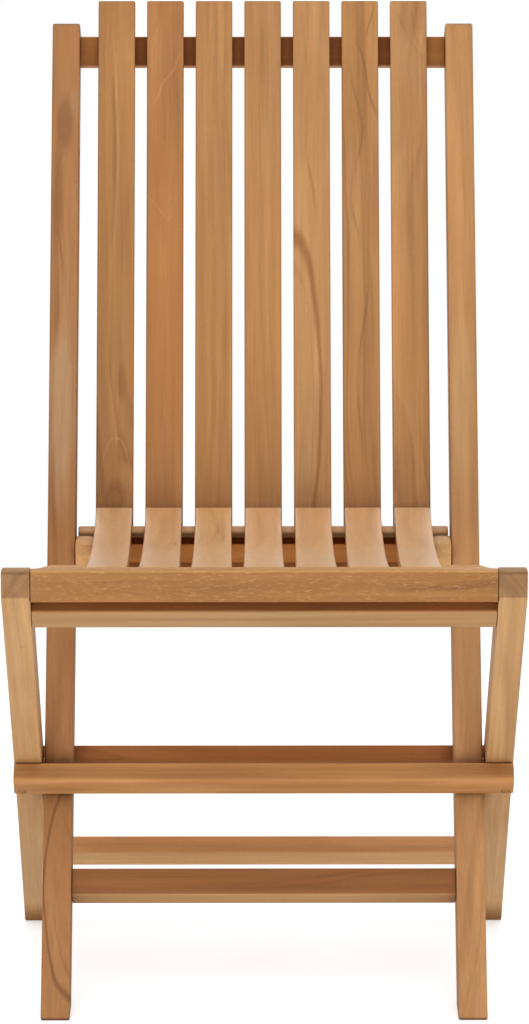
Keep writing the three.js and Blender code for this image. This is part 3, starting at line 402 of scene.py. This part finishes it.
# piece, direction of its grain, seed, tone, and what else teak() is told
BOARDS = (
    ("stile_left", STILE, 2.0, (160, 115, 75), dict(
        pith=(0.035, 0.05), lines=0.45, blotch=0.8, wander=0.014,
        marks=((0.000, 0.400, 0.009, 0.034, 0.75, (0.60, 0.54, 0.54)),
               (0.011, 0.425, 0.007, 0.016, 0.45, (0.98, 1.14, 1.36)),
               (-0.005, 0.330, 0.006, 0.060, 0.60, (0.68, 0.58, 0.52)),
               (0.000, 0.110, 0.013, 0.110, 0.85, (1.10, 1.32, 1.65)),
               (0.004, 0.240, 0.006, 0.040, 0.40, (0.95, 1.10, 1.30)),
               (0.006, -0.280, 0.010, 0.030, 0.45, (0.66, 0.56, 0.46))),
        rings=((0.014, -0.398, 0.027, 0.105, 0.75, (0.46, 0.38, 0.32), 0.07),),
        veins=((-0.004, 0.330, 0.110, 0.0, 0.004, 0.19, 0.5, 0.0016, 0.5, DARK_VEIN),))),
    ("stile_right", STILE, 5.0, (180, 135, 90), dict(
        pith=(-0.08, 0.10), lines=0.2, blotch=0.6, figure=0.08,
        marks=((0.000, 0.110, 0.013, 0.120, 0.5, (1.04, 1.14, 1.22)),))),
    ("rear_leg_left", LEG, 11.0, (190, 150, 105), dict(
        pith=(0.07, -0.09), lines=0.2, blotch=0.6,
        marks=(LOWER_LEG_LIGHT, (0.002, 0.210, 0.003, 0.004, 0.3, RED_CLOUD),), face_tone_and_light=FACET)),
    ("rear_leg_right", LEG, 14.0, (190, 150, 105), dict(
        pith=(-0.05, -0.08), lines=0.3, blotch=0.5, marks=(LOWER_LEG_LIGHT,), face_tone_and_light=FACET)),
    ("back_slat_1", BACK, 21.0, (165, 120, 75), dict(
        pith=(0.02, 0.045), lines=0.3, blotch=0.55,
        marks=((0.001, -0.200, 0.013, 0.018, 0.90, RED_CLOUD),
               (0.007, -0.082, 0.005, 0.022, 0.60, (0.70, 0.58, 0.50)),
               (0.008, -0.150, 0.008, 0.022, 0.50, (0.74, 0.62, 0.54))),
        rings=((0.001, -0.185, 0.015, 0.046, 0.35, PALE_VEIN, 0.06),
               (0.000, -0.204, 0.008, 0.012, 0.50, DARK_VEIN, 0.16)),
        veins=((-0.002, 0.165, 0.125, 0.0, 0.004, 0.44, -0.76, 0.0013, 0.60, PALE_VEIN),
               (-0.005, 0.150, 0.110, 0.0, 0.004, 0.44, -0.76, 0.0020, 0.45, DARK_VEIN)))),
    ("back_slat_2", BACK, 22.5, (165, 115, 70), dict(
        pith=(0.0, -0.09), lines=0.15, blotch=0.5,
        veins=((-0.0067, 0.101, 0.018, -0.86, 0.0008, 0.02, 0.0, 0.0010, 0.60, PALE_VEIN),
               (0.0085, 0.105, 0.022, 0.41, 0.0010, 0.03, 0.5, 0.0010, 0.60, PALE_VEIN),
               (0.001, 0.237, 0.034, 0.57, 0.0015, 0.03, 0.0, 0.0011, 0.65, PALE_VEIN),
               (-0.009, 0.286, 0.020, 0.29, 0.0010, 0.03, 1.0, 0.0010, 0.50, PALE_VEIN)))),
    ("back_slat_3", BACK, 24.0, (170, 125, 80), dict(
        pith=(-0.10, 0.09), lines=0.15, blotch=0.5, figure=0.10)),
    ("back_slat_4", BACK, 25.5, (170, 125, 80), dict(
        pith=(0.12, 0.05), lines=0.12, blotch=0.5, figure=0.08)),
    ("back_slat_5", BACK, 27.0, (175, 130, 85), dict(
        pith=(0.03, -0.05), lines=0.15, blotch=0.5, stripe=0.35,
        marks=((-0.004, -0.100, 0.014, 0.120, 0.5, (1.08, 1.12, 1.14)),),
        rings=((-0.017, -0.099, 0.026, 0.165, 0.90, (0.62, 0.50, 0.38), 0.13),
               (-0.017, -0.105, 0.019, 0.140, 0.25, (0.72, 0.62, 0.52), 0.06)),
        veins=((-0.001, 0.141, 0.080, -0.114, 0.0015, 0.09, 0.0, 0.0016, 0.6,
                (0.62, 0.58, 0.48)),))),
    ("back_slat_6", BACK, 28.5, (170, 125, 80), dict(
        pith=(0.05, -0.03), lines=0.45, blotch=0.6, wander=0.014, bands=60.0,
        marks=((0.016, 0.120, 0.006, 0.070, 0.5, (0.76, 0.66, 0.60)),),
        veins=((-0.004, 0.162, 0.100, 0.0, 0.006, 0.137, -0.54, 0.0014, 0.8, DARK_VEIN),
               (0.007, 0.237, 0.046, -0.27, 0.002, 0.08, 0.0, 0.0013, 0.7, DARK_VEIN),
               (0.010, 0.300, 0.020, 0.18, 0.001, 0.05, 0.0, 0.0011, 0.6, DARK_VEIN),
               (0.002, -0.050, 0.120, 0.03, 0.004, 0.21, 0.7, 0.0015, 0.6, DARK_VEIN)))),
    ("back_slat_7", BACK, 30.0, (175, 130, 85), dict(
        pith=(-0.02, -0.06), lines=0.35, blotch=0.5, wander=0.014,
        marks=((0.004, 0.305, 0.016, 0.026, 0.45, (0.76, 0.64, 0.58)),),
        veins=((0.002, 0.278, 0.034, -0.53, 0.0015, 0.06, 0.0, 0.0015, 0.7, DARK_VEIN),
               (0.006, 0.290, 0.024, -0.27, 0.001, 0.05, 0.0, 0.0012, 0.6, DARK_VEIN),
               (0.001, 0.130, 0.100, 0.06, 0.005, 0.26, 0.4, 0.0012, 0.4, (0.80, 0.66, 0.58))))),
    ("seat_slat_1", SEAT, 41.0, (200, 155, 110), dict(
        pith=(0.003, -0.05), lines=0.1,
        rings=((0.000, 0.095, 0.009, 0.033, 0.50, (1.14, 1.22, 1.30), 0.10),))),
    ("seat_slat_2", SEAT, 42.5, (200, 155, 110), dict(
        pith=(-0.006, -0.06), lines=0.15,
        marks=((0.013, 0.068, 0.0016, 0.010, 0.7, (0.5, 0.46, 0.44)),),
        rings=((-0.001, 0.098, 0.009, 0.030, 0.35, (1.14, 1.22, 1.30), 0.10),))),
    ("seat_slat_3", SEAT, 44.0, (205, 160, 110), dict(
        pith=(0.05, -0.05), lines=0.15,
        marks=((0.008, 0.110, 0.008, 0.040, 0.35, (0.80, 0.68, 0.60)),),
        veins=((0.004, 0.125, 0.048, -0.18, 0.0014, 0.03, 0.0, 0.0010, 0.65, (0.58, 0.48, 0.40)),
               (0.010, 0.105, 0.030, -0.05, 0.0012, 0.02, 1.0, 0.0009, 0.55, (0.58, 0.48, 0.40))))),
    ("seat_slat_4", SEAT, 45.5, (210, 165, 120), dict(pith=(0.05, -0.04), lines=0.12)),
    ("seat_slat_5", SEAT, 47.0, (205, 160, 115), dict(pith=(-0.05, 0.06), lines=0.12)),
    ("seat_slat_6", SEAT, 48.5, (205, 160, 115), dict(pith=(0.06, 0.05), lines=0.12)),
    ("seat_slat_7", SEAT, 50.0, (205, 160, 115), dict(pith=(-0.05, -0.06), lines=0.1)),
    # painted highlight: the rail's top face is made much lighter than its front
    ("seat_front_rail", ALONG_X, 61.0, (150, 105, 60), dict(
        pith=(0.03, 0.05), lines=0.35, blotch=0.6, figure=0.75, face_tone_and_light=(85, (1.55, 1.75, 1.90)))),
    # painted shade: the upper face, right under the seat's front rail, is darker
    ("leg_top_rail", ALONG_X, 62.5, (170, 135, 95), dict(
        pith=(0.09, 0.02), lines=0.1, blotch=0.5, face_tone_and_light=(49.5, (0.98, 0.74, 0.60)))),
    ("front_stop_batten", ALONG_X, 64.0, (185, 135, 85), dict(
        pith=(0.04, -0.06), lines=0.45, blotch=0.7,
        veins=((0.001, 0.030, 0.170, 0.0, 0.002, 0.31, 0.0, 0.0040, 0.5, (0.86, 0.68, 0.58)),))),
    ("rear_stop_batten", ALONG_X, 65.5, (180, 120, 70), dict(
        pith=(0.05, 0.07), lines=0.25, blotch=0.65)),
    # painted shade: the upper face, under the seat, is darker and redder than the lower one
    ("rear_stretcher", ALONG_X, 67.0, (220, 175, 125), dict(
        pith=(0.04, 0.05), lines=0.3, blotch=0.5, face_tone_and_light=(40, (0.92, 0.82, 0.74)))),
    # painted shade: the front face, under the seat, is much darker than the lower edge
    ("front_stretcher", ALONG_X, 68.5, (185, 145, 95), dict(
        pith=(0.06, 0.03), lines=0.3, blotch=0.65, wander=0.014, figure=0.08,
        face_tone_and_light=(29, (0.53, 0.39, 0.34)))),
    # painted shade: the front face behind the back slats is dark, and painted light makes its two
    # ends, open at the sides, lighter
    ("top_rail", ALONG_X, 70.0, (200, 150, 105), dict(
        pith=(0.05, 0.09), lines=0.15, blotch=0.5, recess=0.6,
        face_tone_and_light=(22.5, (0.32, 0.18, 0.036), (0.15, (0.60, 0.48, 0.26))))),
    ("lower_back_rail", ALONG_X, 71.5, (165, 105, 60), dict(
        pith=(0.05, 0.09), lines=0.2, blotch=0.65)),
    # painted shade: the top face, in the gap under the rear of the seat slats, is near black
    ("seat_cross_rail", ALONG_X, 73.0, (170, 115, 65), dict(
        pith=(0.05, 0.06), lines=0.2, blotch=0.65, gloss=0.0, face_tone_and_light=(83, (0.22, 0.12, 0.06)))),
    ("seat_tie_batten", ALONG_X, 74.5, (210, 165, 120), dict(
        pith=(0.05, 0.06), lines=0.2, blotch=0.5, recess=0.2)),
    ("seat_side_rail_left", SIDE, 81.0, (210, 165, 115), dict(
        pith=(0.02, 0.03), lines=0.4, blotch=0.6, end_dark=0.0)),
    ("seat_side_rail_right", SIDE, 82.5, (205, 165, 115), dict(
        pith=(0.02, 0.03), lines=0.4, blotch=0.6, end_dark=0.0)),
)
for name, turn, seed, tone, facts in BOARDS:
    if name.startswith("seat_slat"):
        facts["marks"] = (*facts.get("marks", ()), SEAT_FRONT_SHEEN)
        facts = dict(rough=0.36, blotch=0.4, stripe=0.35, fibre=0.30, gloss=0.8, **facts)
    elif name.startswith("back_slat"):
        facts["marks"] = (*facts.get("marks", ()), LOW_END_SHADE)
    dress(name, teak("teak_" + name, name, turn, seed, tone, **facts))

PLUG = lean(45)
for number, name in enumerate(sorted(n for n in NODES if "plug" in n)):
    dress(name, teak("teak_" + name, name, PLUG, 90.0 + number, (190, 140, 90),
                     pith=(0.004, 0.004), bands=900.0))

metal = brass("satin_brass")
for name in sorted(NODES):
    if name.startswith(("pivot_", "seat_hinge_pin", "seat_slide_pin")):
        dress(name, metal, metal=True)


# screws behind and under the slats

def make_screws():
    # name, body, rail, degrees that the rail's face leans, half the rail's thickness, its side
    rows = (
        ("top_rail_screws", "back_frame", "top_rail", 22.5, 0.0055, 1),
        ("lower_back_rail_screws", "back_frame", "lower_back_rail", 27.6, 0.0085, -1),
        ("seat_cross_rail_screws", "seat", "seat_cross_rail", -83.1, 0.0105, -1),
        ("seat_tie_batten_screws", "seat", "seat_tie_batten", -77.5, 0.0065, -1),
    )
    for name, body, node, degrees, half_thick, way in rows:
        angle = math.radians(degrees)
        normal = Vector((0, math.cos(angle), -math.sin(angle))) * way
        low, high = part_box(node)
        centre = (low + high) / 2
        turn = normal.to_track_quat("Z", "Y").to_matrix().to_4x4()
        verts, faces = [], []
        for number in range(SLATS):
            spot = Matrix.Translation(
                centre + Vector(((number - SLATS // 2) * SLAT_PITCH, 0, 0)) + normal * half_thick)
            move = spot @ turn @ Matrix.Rotation(NEXT_TURN * number + FIRST_TURN, 4, "Z")
            head_verts, head_faces = screw_head()
            faces += [[i + len(verts) for i in face] for face in head_faces]
            verts += [move @ v for v in head_verts]
        mesh = bpy.data.meshes.new(name)
        mesh.from_pydata(verts, [], faces)
        mesh.update()
        for polygon in mesh.polygons:
            polygon.use_smooth = False
        obj = bpy.data.objects.new(name, mesh)
        bpy.context.scene.collection.objects.link(obj)
        mesh.materials.append(metal)
        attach(obj, body)


def screw_head():
    """Vertices and faces of a shallow domed head with a cross recess, in metres, facing +Z."""
    rings = (0.0, 0.35, 0.7, 1.0, 1.3, 1.6, 1.9, 2.2, 2.8, 3.3, 3.6, 3.6)
    heights = (0.5, 0.5, 0.5, 0.5, 0.5, 0.5, 0.5, 0.48, 0.42, 0.3, 0.12, 0.05)
    sides = 32
    verts, faces, previous = [], [], None
    for radius, height in zip(rings, heights):
        ring = []
        for side in range(1 if radius == 0 else sides):
            angle = 2 * math.pi * side / sides
            x, y = radius * math.cos(angle), radius * math.sin(angle)
            narrow, wide = sorted((abs(x), abs(y)))
            sunk = CROSS_DEPTH if narrow < CROSS_HALF_WIDTH and wide < CROSS_HALF_LENGTH else 0.0
            ring.append(len(verts))
            verts.append(Vector((x, y, height - sunk)) / 1000)
        if previous:
            for side in range(sides):
                after = (side + 1) % sides
                if len(previous) == 1:
                    faces.append([previous[0], ring[side], ring[after]])
                else:
                    faces.append([previous[side], ring[side], ring[after], previous[after]])
        previous = ring
    faces.append(previous[::-1])
    return verts, faces


make_screws()


# floor, world, lights, camera

def floor():
    mesh = bpy.data.meshes.new("floor")
    angles = [2 * math.pi * i / FLOOR_SIDES for i in range(FLOOR_SIDES)]
    ring = [(FLOOR_RADIUS * math.cos(a), FLOOR_RADIUS * math.sin(a), 0) for a in angles]
    mesh.from_pydata(ring, [], [list(range(FLOOR_SIDES))])
    obj = bpy.data.objects.new("floor", mesh)
    bpy.context.scene.collection.objects.link(obj)
    t = Tree("pale_floor")
    coord = t.add("ShaderNodeTexCoord")
    away = t.vector("LENGTH", coord.outputs["Object"])
    path = t.add("ShaderNodeLightPath")
    matte = t.add("ShaderNodeBsdfDiffuse")
    matte.inputs["Color"].default_value = FLOOR_COLOUR
    glow = t.add("ShaderNodeEmission")
    t.put(glow.inputs["Strength"], t.math("MULTIPLY", path.outputs["Is Camera Ray"], FLOOR_GLOW))
    lit = t.add("ShaderNodeAddShader")
    t.put(lit.inputs[0], matte.outputs[0])
    t.put(lit.inputs[1], glow.outputs[0])
    clear = t.add("ShaderNodeBsdfTransparent")
    seen = t.math("MAXIMUM", path.outputs["Is Camera Ray"], path.outputs["Is Glossy Ray"])
    fade = t.math("MULTIPLY", t.ramp(away, *FLOOR_FADE), seen)
    blend = t.add("ShaderNodeMixShader")
    t.put(blend.inputs[0], fade)
    t.put(blend.inputs[1], lit.outputs[0])
    t.put(blend.inputs[2], clear.outputs[0])
    t.put(t.out.inputs[0], blend.outputs[0])
    mesh.materials.append(t.mat)


def world():
    made = bpy.data.worlds.new("studio")
    bpy.context.scene.world = made
    made.use_nodes = True
    tree = made.node_tree
    tree.nodes.clear()
    out = tree.nodes.new("ShaderNodeOutputWorld")
    path = tree.nodes.new("ShaderNodeLightPath")
    soft = tree.nodes.new("ShaderNodeBackground")
    soft.inputs[0].default_value = SOFT_LIGHT
    soft.inputs[1].default_value = SOFT_STRENGTH
    white = tree.nodes.new("ShaderNodeBackground")
    white.inputs[0].default_value = WHITE
    white.inputs[1].default_value = 1.0
    first = tree.nodes.new("ShaderNodeMath")
    first.operation = "MAXIMUM"
    second = tree.nodes.new("ShaderNodeMath")
    second.operation = "MAXIMUM"
    mix = tree.nodes.new("ShaderNodeMixShader")
    link = tree.links.new
    link(path.outputs["Is Camera Ray"], first.inputs[0])
    link(path.outputs["Is Glossy Ray"], first.inputs[1])
    link(first.outputs[0], second.inputs[0])
    link(path.outputs["Is Transmission Ray"], second.inputs[1])
    link(second.outputs[0], mix.inputs[0])
    link(soft.outputs[0], mix.inputs[1])
    link(white.outputs[0], mix.inputs[2])
    link(mix.outputs[0], out.inputs[0])


def softbox(name, place, target, size, power):
    data = bpy.data.lights.new(name, "AREA")
    data.shape = "RECTANGLE"
    data.size, data.size_y = size
    data.energy = power
    obj = bpy.data.objects.new(name, data)
    bpy.context.scene.collection.objects.link(obj)
    obj.location = place
    obj.rotation_euler = (Vector(target) - Vector(place)).to_track_quat("-Z", "Y").to_euler()


def camera():
    data = bpy.data.cameras.new("camera")
    data.sensor_fit = "VERTICAL"
    data.sensor_height = SENSOR
    data.lens = SENSOR * FOCAL_PIXELS / PICTURE_HEIGHT
    data.clip_start, data.clip_end = 0.1, 100
    obj = bpy.data.objects.new("camera", data)
    bpy.context.scene.collection.objects.link(obj)
    obj.location = CAMERA_PLACE
    obj.rotation_euler = (math.radians(90 - CAMERA_PITCH), 0, math.radians(CAMERA_YAW))
    bpy.context.scene.camera = obj


floor()
world()
# name, place, target, size, watts
softbox("overhead", (0.0, -0.9, 2.9), (0, 0.0, 0.4), (2.6, 2.0), 26)
softbox("front_fill", (-0.8, -4.6, 1.5), (0, 0, 0.45), (2.4, 2.0), 3)
softbox("rear_sheen", (0.0, 2.4, 2.0), (0, 0, 0.45), (2.2, 1.4), 16)
softbox("low_reflector", (0.0, -2.2, 0.32), (0, 0, 0.30), (3.0, 0.6), 23)
camera()
bpy.context.scene.view_settings.view_transform = "Standard"
